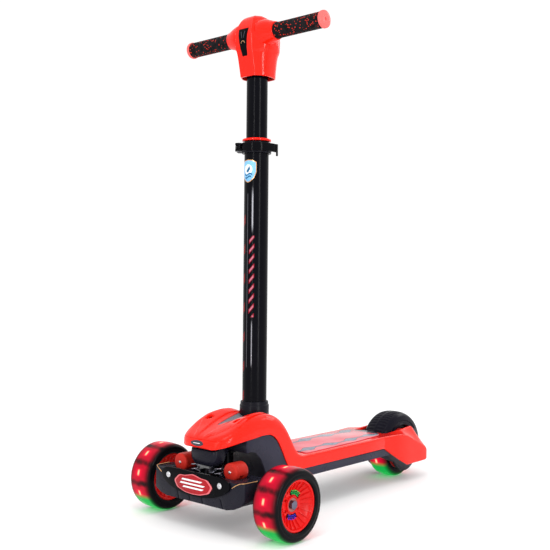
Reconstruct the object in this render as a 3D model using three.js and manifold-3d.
// A children's kick scooter with two wheels in front, one behind, a lean-to-steer truck,
// a foot brake over the rear wheel and a handlebar column of adjustable height.
//
// Millimetres. +Z is up, -Y is forward and +X is the rider's left. The shapes are drawn
// with the front axle at y = 0; the last lines move the whole scooter so that y = 0 is
// the middle of its length. The floor is at z = 0.

import * as THREE from 'three';
import { mergeVertices } from 'three/addons/utils/BufferGeometryUtils.js';
import Module from 'manifold-3d';

const wasm = await Module();
wasm.setup();

// ---------- Driving dimensions ----------

const GAP = 0.35;
const WALL = 3;

const WHEEL_RADIUS = 60;
const WHEELBASE = 520;
const FRONT_WHEEL_X = 150;
const FRONT_TYRE_HALF_WIDTH = 26;
const REAR_TYRE_HALF_WIDTH = 22;
const RIM_RECESS = 3.5;
const RIM_RADIUS = 42;
const AXLE_RADIUS = 4;
const BEARING_RADIUS = 11;
const FIN_COUNT = 6;

const COLUMN_Y = 82;
const LOWER_TUBE_RADIUS = 21.9;
const LOWER_TUBE_BORE = 20.2;
const LOWER_TUBE_BOTTOM = 104;
const LOWER_TUBE_TOP = 666;
const UPPER_TUBE_RADIUS = 19;
const UPPER_TUBE_BORE = 16.8;
const UPPER_TUBE_BOTTOM = 480;

const BAR_Z = 855;
const BAR_Y = 73;
const BAR_RADIUS = 11;
const BAR_BORE = 9.6;
const GRIP_RADIUS = 13.9;
const GRIP_INNER_X = 55;
const GRIP_OUTER_X = 156;
const BAR_END_X = 162;

const CLAMP_BOTTOM = 645;
const CLAMP_TOP = 663.5;
const CLAMP_EAR_ANGLE = 221.4;
const CLAMP_BOLT_REACH = 31.5;
const CLAMP_BOLT_Z = 654.5;
const LEVER_PIVOT_OFFSET = 13.4;

const DECK_TOP = 103;
const DECK_SKIRT = 80;
const CHASSIS_BOTTOM = 64;
const CHASSIS_HALF_WIDTH = 60.6;
const CORE_HALF_WIDTH = 57.4;
const POD_HALF_WIDTH = 68;
const POD_INNER_X = 38;
const FORK_INNER_X = 31;
const FORK_OUTER_X = 36;

const LEAN_AXIS_TILT = 50;
const LEAN_PIVOT_Y = -2;
const LEAN_PIVOT_Z = 78;
const BOSS_RADIUS = 13;
const BOSS_HALF_LENGTH = 17;
const TRUCK_BOTTOM = 44;
const TRUCK_TOP = 92.5;
const TRUCK_HALF_WIDTH = 106.5;
const SPRING_X = 28;
const SPRING_Y = -34;
const BUMPER_X = 60;
const BUMPER_Z = 102.5;
const BUMPER_RADIUS = 15.2;
const BUMPER_FRONT = -41;
const BUMPER_BACK = -11;
const SCREW_X = 61.5;
const SCREW_Z = 85;

const FENDER_RADIUS = 77;
const BRAKE_PIN_Y = 447;
const BRAKE_PIN_Z = 86;

const RED = { color: 0xf03c2c, roughness: 0.28, metalness: 0 };
const BLACK_SATIN = { color: 0x17171c, roughness: 0.35, metalness: 0.1 };
const SLATE = { color: 0x3a3a48, roughness: 0.45, metalness: 0 };
const RUBBER = { color: 0x141416, roughness: 0.75, metalness: 0 };
const STEEL = { color: 0xb8babd, roughness: 0.3, metalness: 1 };
const GREY = { color: 0x8d8f9a, roughness: 0.5, metalness: 0.1 };
const LIGHT = { color: 0xf6f1e2, roughness: 0.2, metalness: 0 };

// ---------- Solids ----------

const rad = (degrees) => degrees * Math.PI / 180;
const polar = (radius, degrees) => [radius * Math.cos(rad(degrees)), radius * Math.sin(rad(degrees))];

// Merges shared vertices, drops empty triangles and turns the faces outwards.
function solid(geometry) {
  const bare = new THREE.BufferGeometry();
  bare.setAttribute('position', geometry.getAttribute('position').clone());
  if (geometry.index) bare.setIndex(geometry.index.clone());
  const merged = mergeVertices(bare, 1e-4);
  const at = merged.getAttribute('position');
  const triangles = [];
  let volume = 0;
  const a = new THREE.Vector3();
  const b = new THREE.Vector3();
  const c = new THREE.Vector3();
  for (let i = 0; i < merged.index.count; i += 3) {
    const [p, q, r] = [0, 1, 2].map((k) => merged.index.getX(i + k));
    if (p === q || q === r || r === p) continue;
    triangles.push([p, q, r]);
    a.fromBufferAttribute(at, p);
    b.fromBufferAttribute(at, q);
    c.fromBufferAttribute(at, r);
    volume += a.dot(b.cross(c));
  }
  if (volume < 0) triangles.forEach((t) => t.reverse());
  const mesh = new wasm.Mesh({
    numProp: 3,
    vertProperties: new Float32Array(at.array),
    triVerts: new Uint32Array(triangles.flat()),
  });
  return new wasm.Manifold(mesh);
}

const join = (...parts) => parts.reduce((whole, part) => whole.add(part));
const cut = (body, ...tools) => tools.reduce((left, tool) => left.subtract(tool), body);

// A block between two opposite corners.
function block(low, high) {
  const size = high.map((value, i) => value - low[i]);
  const geometry = new THREE.BoxGeometry(...size);
  geometry.translate(...low.map((value, i) => value + size[i] / 2));
  return solid(geometry);
}

function extrude(points, depth, matrix) {
  const shape = new THREE.Shape(points.map(([u, v]) => new THREE.Vector2(u, v)));
  const geometry = new THREE.ExtrudeGeometry(shape, { depth, bevelEnabled: false, steps: 1 });
  geometry.applyMatrix4(matrix);
  return solid(geometry);
}

const axes = (x, y, z) => new THREE.Matrix4().makeBasis(
  new THREE.Vector3(...x), new THREE.Vector3(...y), new THREE.Vector3(...z));

// An outline of (y, z) points carried from x0 to x1.
function prismX(points, x0, x1) {
  const matrix = axes([0, 1, 0], [0, 0, 1], [1, 0, 0]).setPosition(x0, 0, 0);
  return extrude(points, x1 - x0, matrix);
}

// An outline of (x, z) points carried from y0 to y1.
function prismY(points, y0, y1) {
  const matrix = axes([1, 0, 0], [0, 0, 1], [0, -1, 0]).setPosition(0, y1, 0);
  return extrude(points, y1 - y0, matrix);
}

// An outline of (x, y) points carried from z0 to z1.
function prismZ(points, z0, z1) {
  return extrude(points, z1 - z0, new THREE.Matrix4().setPosition(0, 0, z0));
}

// A closed profile of (radius, distance along the axis) points turned about an axis that
// runs from the point at in the direction along.
function turned(profile, at, along, segments = 24) {
  const points = profile.map(([radius, distance]) => new THREE.Vector2(radius, distance));
  const geometry = new THREE.LatheGeometry(points, segments);
  const direction = new THREE.Vector3(...along).normalize();
  const turn = new THREE.Quaternion().setFromUnitVectors(new THREE.Vector3(0, 1, 0), direction);
  geometry.applyQuaternion(turn);
  geometry.translate(...at);
  return solid(geometry);
}

function rod(at, along, from, to, radius, segments = 18) {
  return turned([[0, from], [radius, from], [radius, to], [0, to]], at, along, segments);
}

function ring(at, along, from, to, inner, outer, segments = 24) {
  const profile = [[inner, from], [outer, from], [outer, to], [inner, to], [inner, from]];
  return turned(profile, at, along, segments);
}

// A solid through rings of equally many points.
function loft(rings) {
  const count = rings[0].length;
  const positions = rings.flat(2);
  const index = [];
  for (let i = 0; i + 1 < rings.length; i += 1) {
    for (let j = 0; j < count; j += 1) {
      const a = i * count + j;
      const b = i * count + (j + 1) % count;
      index.push(a, b, b + count, a, b + count, a + count);
    }
  }
  for (const [start, turn] of [[0, 1], [(rings.length - 1) * count, -1]]) {
    const centre = positions.length / 3;
    const middle = [0, 1, 2].map((k) => {
      let sum = 0;
      for (let j = 0; j < count; j += 1) sum += positions[(start + j) * 3 + k];
      return sum / count;
    });
    positions.push(...middle);
    for (let j = 0; j < count; j += 1) {
      const pair = [start + (j + 1) % count, start + j];
      index.push(centre, ...(turn > 0 ? pair : pair.reverse()));
    }
  }
  const geometry = new THREE.BufferGeometry();
  geometry.setAttribute('position', new THREE.Float32BufferAttribute(positions, 3));
  geometry.setIndex(index);
  return solid(geometry);
}

const scooter = new THREE.Group();

function place(name, body, look) {
  const { vertProperties, triVerts, numProp } = body.getMesh();
  const geometry = new THREE.BufferGeometry();
  const positions = new Float32Array((vertProperties.length / numProp) * 3);
  for (let i = 0; i < positions.length / 3; i += 1) {
    positions.set(vertProperties.subarray(i * numProp, i * numProp + 3), i * 3);
  }
  geometry.setAttribute('position', new THREE.BufferAttribute(positions, 3));
  geometry.setIndex(new THREE.BufferAttribute(new Uint32Array(triVerts), 1));
  geometry.computeVertexNormals();
  const mesh = new THREE.Mesh(geometry, new THREE.MeshStandardMaterial({ ...look, flatShading: true }));
  mesh.name = name;
  scooter.add(mesh);
}

const SIDES = [['left', 1], ['right', -1]];

// ---------- Wheels ----------

// Each wheel turns about the X axis through centre; outward is +1 or -1.
function makeWheel(name, centre, halfWidth, outward) {
  const along = [outward, 0, 0];
  const rimFace = halfWidth - RIM_RECESS;
  const seat = halfWidth - 9;
  const band = halfWidth - 13;

  const shoulder = [
    [36.6, seat - GAP], [RIM_RADIUS + GAP, seat - GAP], [RIM_RADIUS + GAP, halfWidth],
    [50, halfWidth], [54.8, halfWidth * 0.86], [58.4, halfWidth * 0.6],
  ];
  const otherShoulder = shoulder.map(([radius, x]) => [radius, -x]).reverse();
  const tyre = [...shoulder, [WHEEL_RADIUS, 0], ...otherShoulder, shoulder[0]];
  place(`${name}_tyre`, turned(tyre, centre, along, 32), RUBBER);

  const light = ring(centre, along, -band, band, 33.4, 36.2, 24);
  place(`${name}_light_ring`, light, LIGHT);

  const half = [
    [BEARING_RADIUS + GAP, 4], [BEARING_RADIUS + GAP, 12], [14, 12], [14, 9], [19, 9],
    [38, rimFace - 3.5], [38, rimFace], [RIM_RADIUS, rimFace], [RIM_RADIUS, seat],
    [36.2, seat], [36.2, band + GAP], [33, band + GAP],
  ];
  const mirrored = half.map(([radius, x]) => [radius, -x]).reverse();
  const bore = [[8.5, -4], [8.5, 4]];
  const hubProfile = [...half, ...mirrored, ...bore, half[0]];
  let hub = turned(hubProfile, centre, along, 20);
  for (let i = 0; i < 6; i += 1) {
    const [y, z] = polar(17.6, 60 * i);
    const at = [centre[0], centre[1] + y, centre[2] + z];
    hub = cut(hub, rod(at, along, -20, 20, 2.2, 6));
  }
  for (let i = 0; i < FIN_COUNT; i += 1) {
    const fin = prismY([[0, 0], [5, 0], [rimFace - 11, 14.4], [rimFace - 15.5, 14.4]], -0.8, 0.8);
    const turnedFin = fin
      .translate([8.4, 0, 21.4])
      .rotate([(360 / FIN_COUNT) * (i + 0.5), 0, 0])
      .rotate([0, 0, outward > 0 ? 0 : 180])
      .translate(centre);
    hub = join(hub, turnedFin);
  }
  place(`${name}_hub`, hub, RED);

  for (const [label, side] of [['outer', 1], ['inner', -1]]) {
    const bearing = ring(centre, [outward * side, 0, 0], 4.3, 11.3, AXLE_RADIUS + GAP, BEARING_RADIUS, 16);
    place(`${name}_bearing_${label}`, bearing, STEEL);
  }
}

function hexagon(at, along, from, to, acrossFlats) {
  return rod(at, along, from, to, acrossFlats / Math.sqrt(3), 6);
}

function makeWheels() {
  for (const [side, x] of SIDES) {
    const centre = [x * FRONT_WHEEL_X, 0, WHEEL_RADIUS];
    makeWheel(`front_wheel_${side}`, centre, FRONT_TYRE_HALF_WIDTH, x);
    const bolt = join(
      rod(centre, [x, 0, 0], 62 - FRONT_WHEEL_X, 12.5, AXLE_RADIUS - 0.1),
      hexagon(centre, [x, 0, 0], 11.8, 15.4, 13),
    );
    place(`front_axle_bolt_${side}`, bolt, STEEL);
  }
  const rear = [0, WHEELBASE, WHEEL_RADIUS];
  makeWheel('rear_wheel', rear, REAR_TYRE_HALF_WIDTH, 1);
  const rearBolt = join(
    rod(rear, [1, 0, 0], -FORK_OUTER_X - 5.5, FORK_OUTER_X + 1, AXLE_RADIUS - 0.1),
    hexagon(rear, [1, 0, 0], FORK_OUTER_X + GAP, FORK_OUTER_X + 5, 13),
  );
  place('rear_axle_bolt', rearBolt, STEEL);
  const rearNut = cut(
    hexagon(rear, [-1, 0, 0], FORK_OUTER_X + GAP, FORK_OUTER_X + 5, 13),
    rod(rear, [1, 0, 0], -50, 0, AXLE_RADIUS + GAP),
  );
  place('rear_axle_nut', rearNut, STEEL);
}

// ---------- Deck shell ----------

// Stations along the hump and deck. y is the place, w the half width at the skirt, low the
// height of the skirt's edge, mid where the flank starts to round over, crest and crestX the
// height and half spacing of the two crests, and dip the height on the centre line.
const STATIONS = [
  { y: -58, w: 20, low: 139.5, mid: 142, crestX: 12, crest: 147, dip: 147 },
  { y: -55, w: 31, low: 137, mid: 142, crestX: 18, crest: 151, dip: 151.5 },
  { y: -49, w: 42, low: 139, mid: 144.5, crestX: 26, crest: 155.5, dip: 156 },
  { y: -40, w: 50, low: 141.5, mid: 148, crestX: 34, crest: 159.5, dip: 159.5 },
  { y: -24, w: 57, low: 145.5, mid: 152, crestX: 42, crest: 166, dip: 165 },
  { y: -4, w: 60.5, low: 148.8, mid: 156, crestX: 45, crest: 175.5, dip: 171 },
  { y: 18, w: 62, low: 151.2, mid: 160, crestX: 45, crest: 183.5, dip: 174.5 },
  { y: 42, w: 62, low: 153.2, mid: 162, crestX: 43, crest: 187, dip: 177 },
  { y: 54, w: 62, low: 152.8, mid: 162, crestX: 42, crest: 187, dip: 178 },
  { y: 64, w: 62, low: 149.5, mid: 161, crestX: 42, crest: 186, dip: 178.5 },
  { y: 76, w: 62, low: 140, mid: 157, crestX: 42, crest: 183.4, dip: 178 },
  { y: 90, w: 62, low: 118, mid: 150, crestX: 42, crest: 177, dip: 173.5 },
  { y: 103, w: 62, low: 95, mid: 138, crestX: 43, crest: 165.5, dip: 163.5 },
  { y: 115, w: 62, low: DECK_SKIRT, mid: 123, crestX: 45, crest: 147, dip: 146 },
  { y: 126, w: 62, low: DECK_SKIRT, mid: 108, crestX: 48, crest: 126, dip: 126 },
  { y: 135, w: 62, low: DECK_SKIRT, mid: 101, crestX: 53, crest: 111.5, dip: 111.5 },
  { y: 144, w: 62, low: DECK_SKIRT, mid: 98.4, crestX: 57, crest: 104.6, dip: 104.6 },
  { y: 155, w: 62, low: DECK_SKIRT, mid: 98, crestX: 58, crest: DECK_TOP, dip: DECK_TOP },
  { y: 446, w: 62, low: DECK_SKIRT, mid: 98, crestX: 58, crest: DECK_TOP, dip: DECK_TOP },
];

// One cross-section, from the skirt on the left over the crests to the skirt on the right.
function deckRing(s, inset = 0) {
  const w = s.w - inset;
  const crestX = Math.min(s.crestX, w - 1);
  const low = inset ? s.low - 30 : s.low;
  const half = [[w, low]];
  for (let i = 0; i <= 3; i += 1) {
    const [c, t] = polar(1, 30 * i);
    half.push([crestX + (w - crestX) * c, s.mid - inset + (s.crest - s.mid) * t]);
  }
  for (const share of [0.7, 0.35]) {
    const blend = 0.5 - 0.5 * Math.cos(Math.PI * share);
    half.push([crestX * share, s.dip + (s.crest - s.dip) * blend - inset]);
  }
  const all = [...half, [0, s.dip - inset], ...half.map(([x, z]) => [-x, z]).reverse()];
  return all.map(([x, z]) => [x, s.y, z]);
}

// The inner skin follows the outer one a wall's thickness inside it, on the slopes too.
function deckInside(inset) {
  return loft(STATIONS.map((s) => {
    const slope = Math.max(-1, Math.min(1, (s.y - 15) / 60));
    const y = s.y < 160 ? s.y - inset * slope : s.y;
    return deckRing({ ...s, y: s.y > 440 ? s.y + 10 : y }, inset);
  }));
}

// The fins beside the fender: outer flank with a crest, a higher inner edge, and a slope between.
const POD_STATIONS = [
  { y: 404, outer: 62, low: 79, crest: 102.6, fin: 102.9 },
  { y: 428, outer: 64.5, low: 65, crest: 102.6, fin: 102.9 },
  { y: 452, outer: 67, low: 51, crest: 102.4, fin: 102.9 },
  { y: 482, outer: POD_HALF_WIDTH, low: 36, crest: 97, fin: 104.5 },
  { y: 510, outer: POD_HALF_WIDTH, low: 36, crest: 84, fin: 106.5 },
  { y: 535, outer: POD_HALF_WIDTH, low: 36, crest: 72, fin: 108 },
  { y: 553, outer: 67.5, low: 36, crest: 64, fin: 88 },
  { y: 558, outer: 66.5, low: 37, crest: 60, fin: 82.5 },
  { y: 573, outer: 50, low: 46, crest: 60, fin: 67 },
];

function pod(side, inset = 0) {
  return loft(POD_STATIONS.map((s, i) => {
    const inner = inset ? POD_INNER_X + inset : POD_INNER_X;
    const low = inset ? s.low - 20 : s.low;
    const last = i === POD_STATIONS.length - 1 && inset;
    const ringPoints = [
      [inner, s.fin - inset], [inner + 4 - inset, s.fin - inset], [s.outer - inset, s.crest - inset],
      [s.outer - inset, low], [inner, low],
    ];
    return ringPoints.map(([x, z]) => [side * x, last ? s.y - 8 : s.y, z]);
  }));
}

const NOSE_CAP = { halfWidth: 44.6, top: 151.6, back: -24 };

function makeDeckShell() {
  const outside = loft(STATIONS.map((s) => deckRing(s)));
  const skin = cut(outside, deckInside(WALL));
  const capZone = (grow) => block(
    [-NOSE_CAP.halfWidth - grow, -80, 120],
    [NOSE_CAP.halfWidth + grow, NOSE_CAP.back + grow, NOSE_CAP.top + grow],
  );
  place('nose_cap', skin.intersect(capZone(0)), RED);

  let shell = cut(skin, capZone(0.4));
  for (const [, side] of SIDES) {
    const innerCut = pod(side, WALL);
    shell = join(shell, cut(pod(side), innerCut));
    shell = cut(shell, innerCut);
    const [x0, x1] = [side * (POD_INNER_X - 1), side * 42].sort((a, b) => a - b);
    shell = cut(shell, block([x0, 400, 0], [x1, 620, 92]), block([x0, 400, 90], [x1, 438, DECK_TOP - WALL]));
  }
  const columnHole = rod([0, COLUMN_Y, 0], [0, 0, 1], 80, 260, 26.9, 32);
  const fenderSlot = block([-POD_INNER_X, 440, 0], [POD_INNER_X, 700, 400]);
  const scoops = SIDES.map(([, side]) => block([side * 32 - 5, -4, 150], [side * 32 + 5, 10, 200]));
  shell = cut(shell, columnHole, fenderSlot, ...scoops, inlayZone(GAP));
  place('deck_shell', shell, RED);

  place('hump_inlay', cut(outside.intersect(inlayZone(0)), columnHole, deckInside(WALL)), GREY);

  const badge = [];
  for (let i = 0; i < 20; i += 1) {
    const [x, z] = polar(1, 18 * i);
    badge.push([x * 13, 145.4 + z * 4.2]);
  }
  place('nose_badge', cut(prismY(badge, -60, -54), grownNose(GAP)), GREY);
}

// The nose surface moved forward, to seat a badge on it.
function grownNose(gap) {
  return loft(STATIONS.slice(0, 7).map((s) => deckRing({ ...s, y: s.y - gap }, 0)));
}

// The tapered strip let into the hump in front of the column.
function inlayZone(grow) {
  const outline = [
    [-2 - grow, -9 - grow], [2 + grow, -9 - grow], [17 + grow, 62], [-17 - grow, 62],
  ];
  return prismZ(outline, 140, 220);
}

function makeDeckMat() {
  const front = 168;
  const back = 436;
  const outline = [[-50, front], [50, front], [52, front + 6], [50, 330]];
  for (let i = 0; i <= 8; i += 1) {
    const [x, y] = polar(1, 22.5 * i);
    outline.push([44 * x, back - 34 + 34 * y]);
  }
  outline.push([-50, 330], [-52, front + 6]);
  place('deck_mat', prismZ(outline, DECK_TOP + GAP, DECK_TOP + 1.6), GREY);
}

// ---------- Chassis ----------

function makeChassis() {
  const arch = [[0, 128], [10, 129], [22, 126], [36, 112], [46, 92], [50, 76], [52, CHASSIS_BOTTOM]];
  const underSkirt = DECK_SKIRT - GAP;
  const alongShell = [[114, underSkirt], [102.2, 94.2], [89.4, 117], [75.4, 139], [63.5, 148.8],
    [53.8, 152.2], [42, 152.6], [18, 150.6], [0, 148.6]];
  const flank = prismX(
    [...arch, [428, CHASSIS_BOTTOM], [404, underSkirt - 1.5], ...alongShell],
    -CHASSIS_HALF_WIDTH, CHASSIS_HALF_WIDTH,
  );
  const core = block([-CORE_HALF_WIDTH, 136, CHASSIS_BOTTOM], [CORE_HALF_WIDTH, 437, DECK_TOP - WALL - 1]);
  const inside = [[3, 132], [12, 132.6], [24, 129.4], [39, 114.6], [49.4, 93], [53.6, 76], [55.4, 40],
    [136, 40], [136, 220], [3, 220]];
  const humpPocket = prismX(inside, -57.4, 57.4);
  let chassis = cut(join(flank, core), humpPocket);
  const bays = [[139, 196], [199, 256], [259, 316], [319, 376], [379, 434]];
  for (const [start, end] of bays) {
    chassis = cut(chassis, block([-55.4, start, 0], [55.4, end, DECK_TOP - WALL - 4]));
  }
  const column = [0, COLUMN_Y, 0];
  const bulkhead = block([-57.8, COLUMN_Y - 2.5, 66], [57.8, COLUMN_Y + 2.5, 148]);
  const tower = rod(column, [0, 0, 1], 66, 160, 29, 28).intersect(deckInside(WALL + GAP));
  const web = block([-1.5, 138, CHASSIS_BOTTOM], [1.5, 435, DECK_TOP - WALL - 3]);
  chassis = join(chassis, bulkhead, block([-3, 40, 116], [3, COLUMN_Y, 150]), tower, web);
  chassis = cut(chassis, rod(column, [0, 0, 1], 0, 240, 24.9, 28));

  // The rear fork straddles the wheel; its lower ends are round about the axle.
  const cheek = [[404, CHASSIS_BOTTOM], [404, 99], [562, 99]];
  for (let i = 0; i <= 10; i += 1) {
    const [y, z] = polar(46, 10 - 16 * i);
    cheek.push([WHEELBASE + y, WHEEL_RADIUS + z]);
  }
  for (const [, side] of SIDES) {
    const xs = [side * FORK_INNER_X, side * FORK_OUTER_X].sort((a, b) => a - b);
    chassis = join(chassis, prismX(cheek, ...xs));
  }
  const wheelRoom = block([-FORK_INNER_X, 442, 0], [FORK_INNER_X, 700, 300]);
  const outsideFork = [[FORK_OUTER_X, 200], [-200, -FORK_OUTER_X]].map(
    ([x0, x1]) => block([x0, 437.2, 0], [x1, 700, 300]));
  const axleHole = rod([0, WHEELBASE, WHEEL_RADIUS], [1, 0, 0], -60, 60, AXLE_RADIUS + GAP);
  const brakePinHole = rod([0, BRAKE_PIN_Y, BRAKE_PIN_Z], [1, 0, 0], -60, 60, 3 + GAP, 12);
  const fenderTipRoom = rod([0, BRAKE_PIN_Y, BRAKE_PIN_Z], [1, 0, 0], -FORK_INNER_X, FORK_INNER_X, 10, 18);
  chassis = cut(chassis, wheelRoom, ...outsideFork, axleHole, brakePinHole, fenderTipRoom);
  place('chassis', chassis, SLATE);
}

function makeNoseBlock() {
  const stations = [
    { y: -46, w: 25, low: 112, top: 131.5 },
    { y: -43, w: 30, low: 106, top: 132.5 },
    { y: -34, w: 32, low: 104.5, top: 135.5 },
    { y: -24, w: 32, low: 105.5, top: 139.5 },
    { y: -12, w: 22, low: 111, top: 144 },
    { y: -GAP, w: 18, low: 115, top: 146.5 },
  ];
  const rings = stations.map(({ y, w, low, top }) => {
    const half = [[w - 1, top], [w, low + 15], [w - 2.5, low + 8], [w - 9, low + 3.4], [w - 17, low]];
    return [...half, ...half.map(([x, z]) => [-x, z]).reverse()].map(([x, z]) => [x, y, z]);
  });
  const hollow = block([-15, -36, 118], [15, -5, 170]);
  place('nose_block', cut(loft(rings), hollow), SLATE);
}

// ---------- Front truck ----------

const LEAN_AXIS = [0, -Math.sin(rad(LEAN_AXIS_TILT)), Math.cos(rad(LEAN_AXIS_TILT))];
const LEAN_PIVOT = [0, LEAN_PIVOT_Y, LEAN_PIVOT_Z];

// Places a solid drawn with the kingpin along +Z and the column side towards +Y.
function onKingpin(body) {
  return body.rotate([LEAN_AXIS_TILT, 0, 0]).translate(LEAN_PIVOT);
}

// Depth of the truck's curved face, which bulges forward in the middle.
const faceY = (x, depth) => -66 + depth + (x / SCREW_X) ** 2;

function facePlate(outline, depth, thickness) {
  const front = [];
  const back = [];
  for (let x = -84; x <= 84; x += 12) {
    front.push([x, faceY(x, depth)]);
    back.unshift([x, faceY(x, depth + thickness)]);
  }
  return prismY(outline, -90, -40).intersect(prismZ([...front, ...back], 20, 140));
}

function makeTruck() {
  const face = [];
  for (let x = -90; x <= 90; x += 15) face.push([x, faceY(x, 4.35)]);
  const half = TRUCK_HALF_WIDTH;
  const plan = [[-half, -54], [4.5 - half, -58.6], ...face, [half - 4.5, -58.6], [half, -54], [half, -22],
    [half - 8, 14], [8 - half, 14], [-half, -22]];
  const side = [[-70, 54], [-61, 47], [-52, TRUCK_BOTTOM], [14, TRUCK_BOTTOM], [14, 84], [4, TRUCK_TOP],
    [-70, TRUCK_TOP]];
  const chin = [[-half, 120], [-half, 65], [6 - half, 56], [-88, 50], [-60, TRUCK_BOTTOM], [60, TRUCK_BOTTOM],
    [88, 50], [half - 6, 56], [half, 65], [half, 120]];
  let truck = prismZ(plan, 30, 120).intersect(prismX(side, -half, half)).intersect(prismY(chin, -90, 30));

  const axle = [0, 0, WHEEL_RADIUS];
  truck = join(truck, rod(axle, [1, 0, 0], -FRONT_WHEEL_X + 12.8, FRONT_WHEEL_X - 12.8, 9, 18));
  const along = [0, 0, 1];
  const origin = [0, 0, 0];
  truck = cut(
    truck,
    onKingpin(rod(origin, along, BOSS_HALF_LENGTH, 90, 27, 24)),
    onKingpin(rod(origin, along, -90, -BOSS_HALF_LENGTH, 27, 24)),
    onKingpin(block([-21, 12.3, -30], [21, 80, 30])),
  );
  truck = join(truck, onKingpin(rod(origin, along, -BOSS_HALF_LENGTH, BOSS_HALF_LENGTH, BOSS_RADIUS)));
  truck = cut(truck, onKingpin(rod(origin, along, -60, 60, 4.4, 14)));

  for (const [, s] of SIDES) {
    const across = (x0, x1) => [s * x0, s * x1].sort((a, b) => a - b);
    const room = ([x0, x1], low, high) => block([x0, low[0], low[1]], [x1, high[0], high[1]]);
    const springPocket = room(across(18, 37), [SPRING_Y - 11, 70], [SPRING_Y + 10, 120]);
    const bumperRoom = across(BUMPER_X - BUMPER_RADIUS - 1.5, BUMPER_X + BUMPER_RADIUS + 1.5);
    const bumperSeat = room(bumperRoom, [BUMPER_FRONT - 2, BUMPER_Z - BUMPER_RADIUS - GAP], [BUMPER_BACK + 2, 120]);
    const bayInner = room(across(28, 58), [-52, 30], [8, 66]);
    const bayOuter = room(across(61, 99), [-50, 30], [-13, 84]);
    truck = cut(truck, springPocket, bumperSeat, bayInner, bayOuter);
    truck = cut(truck, rod(axle, [s, 0, 0], 60, FRONT_WHEEL_X, AXLE_RADIUS + GAP));
    truck = cut(truck, rod([s * SCREW_X, 0, SCREW_Z], [0, 1, 0], -80, -46, 2.4, 12));
  }
  place('front_truck', truck, BLACK_SATIN);
}

function makeFace() {
  const outline = [];
  for (let i = 0; i < 30; i += 1) {
    const [c, s] = polar(1, 12 * i);
    const x = 82 * Math.sign(c) * Math.abs(c) ** 0.72;
    outline.push([x, 78 + Math.min(7, 5 * (x / SCREW_X) ** 2) + 20 * s]);
  }
  let plate = facePlate(outline, 0, 4);
  for (const [name, s] of SIDES) {
    const at = [s * SCREW_X, 0, SCREW_Z];
    plate = cut(plate, rod(at, [0, 1, 0], -80, -40, 2.4, 12));
    const screw = join(
      turned([[0, -68], [3.4, -67.8], [5, -66.6], [5, -65.4], [0, -65.4]], at, [0, 1, 0], 14),
      rod(at, [0, 1, 0], -66, -50, 2, 12),
    );
    const slot = block([at[0] - 6, -70, SCREW_Z - 0.6], [at[0] + 6, -66.9, SCREW_Z + 0.6]);
    place(`faceplate_screw_${name}`, cut(screw, slot), STEEL);
  }
  place('truck_faceplate', plate, BLACK_SATIN);

  const crest = [[-46, 79], [-34, 90], [-20, 90.5], [0, 95], [20, 90.5], [34, 90], [46, 79], [38, 68],
    [18, 62.5], [0, 61.5], [-18, 62.5], [-38, 68]];
  place('faceplate_badge', facePlate(crest, -2.4, 2.05), RED);
}

// A closed coil with flat-looking round ends, from z0 to z1.
function coil(at, radius, wire, z0, z1, turns) {
  const points = [];
  const steps = turns * 8;
  for (let i = 0; i <= steps; i += 1) {
    const [x, y] = polar(radius, 45 * i);
    points.push(new THREE.Vector3(at[0] + x, at[1] + y, z0 + wire + (z1 - z0 - 2 * wire) * i / steps));
  }
  const section = new THREE.Shape();
  section.absarc(0, 0, wire, 0, 2 * Math.PI);
  const path = new THREE.CatmullRomCurve3(points);
  const geometry = new THREE.ExtrudeGeometry(section, {
    extrudePath: path, steps, curveSegments: 3, bevelEnabled: false,
  });
  return solid(geometry);
}

function makeLeanParts() {
  const onAxis = (profile) => onKingpin(turned(profile, [0, 0, 0], [0, 0, 1], 16));
  const bracket = [[-13, 22.6], [22, 22.6], [22, -22.6], [-13, -22.6], [-13, -17.6], [16, -17.6],
    [16, 17.6], [-13, 17.6]];
  const jaws = onKingpin(prismX(bracket, -13, 13));
  const stem = block([-13, 0, 100], [13, 16, 127.4]);
  const clear = onKingpin(block([-20, -30, -17.6], [20, 16, 17.6]));
  let steering = cut(join(jaws, cut(stem, clear), block([-22, 0, 124], [22, 16, 127.4])),
    onKingpin(rod([0, 0, 0], [0, 0, 1], -60, 60, 4.4, 14)));
  steering = cut(steering, onKingpin(rod([0, 0, 0], [0, 0, 1], 22.6, 60, 13.5)));
  place('steering_bracket', steering, STEEL);

  place('kingpin_bolt', onAxis([[0, -29.5], [4, -29.5], [4, 23], [8, 23], [8, 26.6], [6, 28], [0, 28]]), STEEL);
  const nut = cut(hexagon([0, 0, 0], [0, 0, 1], -28.4, -23, 13), rod([0, 0, 0], [0, 0, 1], -40, 0, 4.4));
  place('kingpin_nut', onKingpin(nut), STEEL);

  for (const [name, s] of SIDES) {
    const spring = coil([s * SPRING_X, SPRING_Y, 0], 7, 1.3, 70.3, 106.4, 4);
    place(`lean_spring_${name}`, spring, STEEL);
    const at = [s * BUMPER_X, 0, BUMPER_Z];
    const puck = turned([[0, BUMPER_FRONT], [13.4, BUMPER_FRONT], [BUMPER_RADIUS, BUMPER_FRONT + 1.8],
      [BUMPER_RADIUS, BUMPER_BACK - 1.5], [13.7, BUMPER_BACK], [0, BUMPER_BACK]], at, [0, 1, 0], 24);
    const middle = (BUMPER_FRONT + BUMPER_BACK) / 2;
    const notch = block([at[0] - 6, middle - 5, at[2] - 20], [at[0] + 20, middle + 5, at[2] - 5]);
    place(`lean_bumper_${name}`, cut(puck, notch), RED);
  }
}

// ---------- Column ----------

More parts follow.
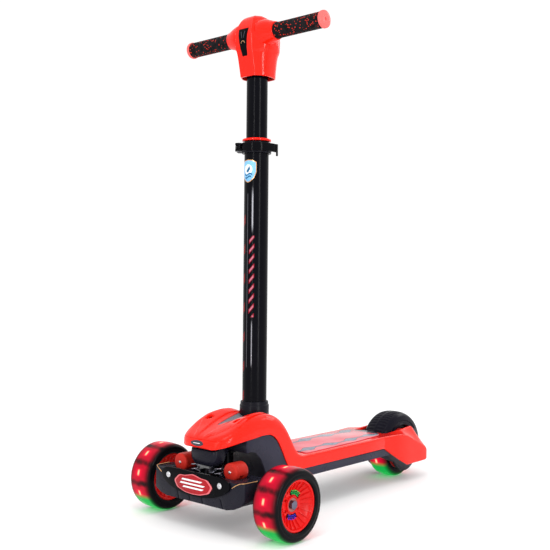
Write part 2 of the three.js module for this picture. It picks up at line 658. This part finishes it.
function makeColumn() {
  const at = [0, COLUMN_Y, 0];
  const up = [0, 0, 1];
  const slit = block([-1.5, COLUMN_Y, LOWER_TUBE_TOP - 34], [1.5, COLUMN_Y + 40, LOWER_TUBE_TOP + 5]);
  const lower = ring(at, up, LOWER_TUBE_BOTTOM, LOWER_TUBE_TOP, LOWER_TUBE_BORE, LOWER_TUBE_RADIUS, 32);
  place('lower_tube', cut(lower, slit), BLACK_SATIN);

  const upper = ring(at, up, UPPER_TUBE_BOTTOM, BAR_Z - BAR_RADIUS - 1, UPPER_TUBE_BORE, UPPER_TUBE_RADIUS, 32);
  place('upper_tube', cut(upper, rod([0, BAR_Y, BAR_Z], [1, 0, 0], -40, 40, BAR_RADIUS + GAP)), BLACK_SATIN);

  const bush = [[19.5, 666.5], [24.8, 666.5], [26, 667.6], [26, 669.4], [24.4, 671], [19.5, 671],
    [19.5, 666.5]];
  place('column_bush_ring', turned(bush, at, up, 32), RED);

  const collar = [[5, 97], [24.4, 97], [24.4, 176.6], [26.4, 176.6], [26.4, 196], [24.8, 203],
    [22.4, 203], [22.4, 103.6], [5, 103.6], [5, 97]];
  place('base_collar', turned(collar, at, up, 28), BLACK_SATIN);
}

// The clamp is drawn with its ears along +X and is then turned into place round the column.
function roundColumn(body) {
  return body.rotate([0, 0, CLAMP_EAR_ANGLE]).translate([0, COLUMN_Y, 0]);
}

function makeClamp() {
  const origin = [0, 0, 0];
  const up = [0, 0, 1];
  const side = [0, 1, 0];
  const boltAt = [CLAMP_BOLT_REACH, 0, CLAMP_BOLT_Z];
  let collar = ring(origin, up, CLAMP_BOTTOM, CLAMP_TOP, LOWER_TUBE_RADIUS + 0.4, 26.4, 32);
  const earFace = [[23.4, 646.5], [33, 646.5], [36.2, 648.5], [38, 652], [38, 657], [36.2, 660.5], [33, 662.5],
    [23.4, 662.5]];
  collar = cut(join(collar, prismY(earFace, -6.4, 6.4)), block([10, -1.6, 600], [60, 1.6, 700]), rod(boltAt, side, -20, 20, 3.3, 14),
    rod(origin, up, 600, 700, LOWER_TUBE_RADIUS + 0.4, 32));
  place('clamp_collar', roundColumn(collar), BLACK_SATIN);

  const pivot = [CLAMP_BOLT_REACH, LEVER_PIVOT_OFFSET, 0];
  const eye = rod(pivot, up, CLAMP_BOLT_Z - 2.9, CLAMP_BOLT_Z + 2.9, 4.2, 16);
  const bolt = join(rod(boltAt, side, -13, LEVER_PIVOT_OFFSET, 2.9, 14), eye);
  place('clamp_bolt', roundColumn(cut(bolt, rod(pivot, up, 600, 700, 2.1, 12))), STEEL);
  const nut = cut(rod(boltAt, side, -12.2, -6.8, 5.6, 16), rod(boltAt, side, -20, 0, 3.3, 14));
  place('clamp_nut', roundColumn(nut), BLACK_SATIN);
  place('clamp_pin', roundColumn(rod(pivot, up, 646.4, 662.6, 1.75, 12)), STEEL);

  // The lever's arm wraps round the tube from the pivot to a finger tip on the other side.
  const outer = [];
  const inner = [];
  const startAngle = 20;
  const sweep = 150;
  for (let i = 0; i <= 15; i += 1) {
    const angle = startAngle + sweep * i / 15;
    const flare = Math.max(0, (i - 12) / 3) * 5;
    outer.push(polar(31.6 + flare, angle));
    inner.unshift(polar(28 + flare, angle));
  }
  const arm = prismZ([...outer, ...inner], 647.2, 661.8);
  const hub = rod(pivot, up, 647.2, 661.8, 6.6, 20);
  const tip = prismZ([[-38.6, 4.4], [-36.6, 4], [-34.6, 8], [-36.4, 9.6]], 640.5, 661.8);
  const lever = cut(join(arm, hub, tip), rod(pivot, up, CLAMP_BOLT_Z - 3.5, CLAMP_BOLT_Z + 3.5, 7.2, 20), rod(pivot, up, 600, 700, 2.1, 12));
  place('clamp_lever', roundColumn(lever), BLACK_SATIN);
}

// ---------- Handlebar ----------

// Stations up the head cover: front and back are y, w the half width, f that of the flat front.
const HEAD_STATIONS = [
  { z: 780, w: 28, f: 14, front: 56, back: 111.5 },
  { z: 800, w: 29.5, f: 14.5, front: 52.5, back: 113 },
  { z: 819, w: 32, f: 15, front: 48.5, back: 115 },
  { z: 829, w: 35.5, f: 16, front: 45.5, back: 117.5 },
  { z: 848, w: 36.5, f: 17, front: 43.5, back: 118 },
  { z: 862, w: 33, f: 16.5, front: 46, back: 114 },
  { z: 873, w: 28.5, f: 14, front: 50.5, back: 107.5 },
  { z: 882, w: 23.5, f: 11, front: 56, back: 101.5 },
  { z: 887.5, w: 16.5, f: 8, front: 63, back: 94.5 },
  { z: 890, w: 8.5, f: 4.2, front: 71.5, back: 86.5 },
];

function headRing(s, inset) {
  const depth = s.back - s.front;
  const half = [
    [s.f - inset * 0.5, s.front + inset], [s.f + 3, s.front + 2 + inset],
    [s.w - inset, s.front + depth * 0.32], [s.w - inset, s.front + depth * 0.62],
    [s.w * 0.86 - inset, s.front + depth * 0.84], [s.w * 0.5 - inset * 0.5, s.back - inset],
  ];
  return [...half, ...half.map(([x, y]) => [-x, y]).reverse()].map(([x, y]) => [x, y, s.z]);
}

function headInside() {
  const stations = HEAD_STATIONS.slice(0, 9).map((s) => ({ ...s, z: s.z - 2.5 }));
  stations[0] = { ...HEAD_STATIONS[0], z: 783.5 };
  return loft(stations.map((s) => headRing(s, Math.min(2.6, s.f * 0.4))));
}

function makeHandlebar() {
  const bar = [0, BAR_Y, BAR_Z];
  const sideways = [1, 0, 0];
  place('handlebar_tube', ring(bar, sideways, -GRIP_OUTER_X + 1, GRIP_OUTER_X - 1, BAR_BORE, BAR_RADIUS, 24), BLACK_SATIN);

  const outside = loft(HEAD_STATIONS.map((s) => headRing(s, 0)));
  let cover = outside;
  for (const [, s] of SIDES) {
    const cone = [[0, 20], [24, 24], [22.5, 36], [18.6, 46], [16, GRIP_INNER_X - GAP], [0, GRIP_INNER_X - GAP]];
    cover = join(cover, turned(cone, bar, [s, 0, 0], 18));
  }
  const upperTubeHole = rod([0, COLUMN_Y, 0], [0, 0, 1], 760, BAR_Z - BAR_RADIUS, UPPER_TUBE_RADIUS + GAP, 32);
  const coneRoom = turned([[0, -45], [14.5, -45], [19, -34], [19, 34], [14.5, 45], [0, 45]], bar, sideways, 18);
  cover = cut(cover, headInside(), coneRoom, rod(bar, sideways, -60, 60, BAR_RADIUS + GAP, 20), upperTubeHole);

  const seam = BAR_Y;
  const insertZone = [[-11.6, 862], [11.6, 862], [5.6, 815], [-5.6, 815]];
  const insert = prismY(insertZone, 20, 80);
  const insertRoom = prismY([[-12, 862.4], [12, 862.4], [5.9, 814.6], [-5.9, 814.6]], 20, 80);
  const slice = (from, to) => block([-80, from, 740], [80, to, 920]);
  const coverFace = (depth) => loft(HEAD_STATIONS.map((s) => headRing({ ...s, front: s.front + depth }, 0)));
  const insertSeat = cut(insertRoom, coverFace(1.6));
  const screwAt = [0, 0, 870];
  const front = cut(cover.intersect(slice(0, seam - 0.2)), insertSeat);
  place('head_cover_front', front, RED);
  const screwHole = rod(screwAt, [0, 1, 0], seam - 5, 130, 1.9, 12);
  const screwSink = rod(screwAt, [0, 1, 0], 103.5, 130, 4.4, 16);
  const screwPost = cut(rod(screwAt, [0, 1, 0], seam + 0.2, 103.5, 4.6, 16), coneRoom);
  const rear = join(cover.intersect(slice(seam + 0.2, 200)), screwPost);
  place('head_cover_rear', cut(rear, screwHole, screwSink), RED);
  const screw = join(rod(screwAt, [0, 1, 0], 103.9, 106.2, 4, 16), rod(screwAt, [0, 1, 0], seam + 4, 104.5, 1.5, 12));
  place('head_screw', screw, STEEL);
  const insertSkin = cut(insert.intersect(coverFace(-0.6)), coverFace(1.2));
  place('head_insert', insertSkin, BLACK_SATIN);

  for (const [name, s] of SIDES) {
    const grip = [[BAR_RADIUS + GAP, GRIP_INNER_X], [GRIP_RADIUS + 0.6, GRIP_INNER_X],
      [GRIP_RADIUS + 0.6, GRIP_INNER_X + 4], [GRIP_RADIUS, GRIP_INNER_X + 5], [GRIP_RADIUS, GRIP_OUTER_X],
      [BAR_RADIUS + GAP, GRIP_OUTER_X], [BAR_RADIUS + GAP, GRIP_INNER_X]];
    place(`grip_${name}`, turned(grip, bar, [s, 0, 0], 24), RUBBER);
    const cap = [[3, 160], [3, BAR_END_X], [13.6, BAR_END_X], [15.2, BAR_END_X - 1.6],
      [15.2, GRIP_OUTER_X + GAP], [BAR_BORE - GAP, GRIP_OUTER_X + GAP], [BAR_BORE - GAP, 142], [0, 142],
      [0, 160], [3, 160]];
    place(`grip_end_cap_${name}`, turned(cap, bar, [s, 0, 0], 18), RED);
  }
}

// ---------- Rear brake ----------

function makeBrake() {
  const axle = [0, WHEELBASE, WHEEL_RADIUS];
  const outer = [[51, 27.6], [51, 30], [62, 30], [70.4, 26], [75.4, 14], [FENDER_RADIUS, 0]];
  const inner = [[74, 0], [72.4, 13], [68, 22.4], [61, 27]];
  const profile = [...outer, ...outer.slice(0, -1).map(([r, x]) => [r, -x]).reverse()];
  const back = [...inner, ...inner.slice(1).map(([r, x]) => [r, -x]).reverse()];
  back.sort((a, b) => a[1] - b[1]);
  const loop = [...profile, ...back, profile[0]];
  const dome = turned(loop, axle, [1, 0, 0], 36);
  const kept = [[WHEELBASE, WHEEL_RADIUS]];
  for (let angle = -4; angle <= 153; angle += 15.7) {
    const [y, z] = polar(110, angle);
    kept.push([WHEELBASE + y, WHEEL_RADIUS + z]);
  }
  let fender = dome.intersect(prismX(kept, -60, 60));
  const pin = [0, BRAKE_PIN_Y, BRAKE_PIN_Z];
  const arm = prismX([[442, 84], [447, 80], [462, 88], [470, 104], [464, 108], [449, 92], [442, 90]], 0, 8);
  for (const x of [14, -22]) {
    const knuckle = join(arm.translate([x, 0, 0]), rod([x, BRAKE_PIN_Y, BRAKE_PIN_Z], [1, 0, 0], 0, 8, 6, 16));
    fender = join(fender, cut(knuckle, rod(axle, [1, 0, 0], -40, 40, 66, 36)));
  }
  fender = cut(fender, rod(pin, [1, 0, 0], -40, 40, 3 + GAP, 12));
  place('brake_fender', fender, BLACK_SATIN);

  const padOuter = [];
  const padInner = [];
  for (let angle = 70; angle <= 112; angle += 7) {
    const [yo, zo] = polar(72.2, angle);
    const [yi, zi] = polar(65.4, angle);
    padOuter.push([WHEELBASE + yo, WHEEL_RADIUS + zo]);
    padInner.unshift([WHEELBASE + yi, WHEEL_RADIUS + zi]);
  }
  place('brake_pad', prismX([...padOuter, ...padInner], -7.5, 7.5), STEEL);

  place('brake_hinge_pin', rod(pin, [1, 0, 0], -FORK_OUTER_X - 1, FORK_OUTER_X + 1, 3, 12), STEEL);
  const spring = coil([0, 0, 0], 5.6, 0.9, -8, 8, 4);
  place('brake_spring', spring.rotate([0, 90, 0]).translate(pin), STEEL);
}

makeWheels();
makeDeckShell();
makeDeckMat();
makeChassis();
makeNoseBlock();
makeTruck();
makeFace();
makeLeanParts();
makeColumn();
makeClamp();
makeHandlebar();
makeBrake();

// The length runs from the faceplate badge to the back of the fender.
const FRONT_END = faceY(0, -2.4);
const REAR_END = WHEELBASE + FENDER_RADIUS;
scooter.position.y = -(FRONT_END + REAR_END) / 2;
scooter.updateMatrixWorld(true);

export default scooter;
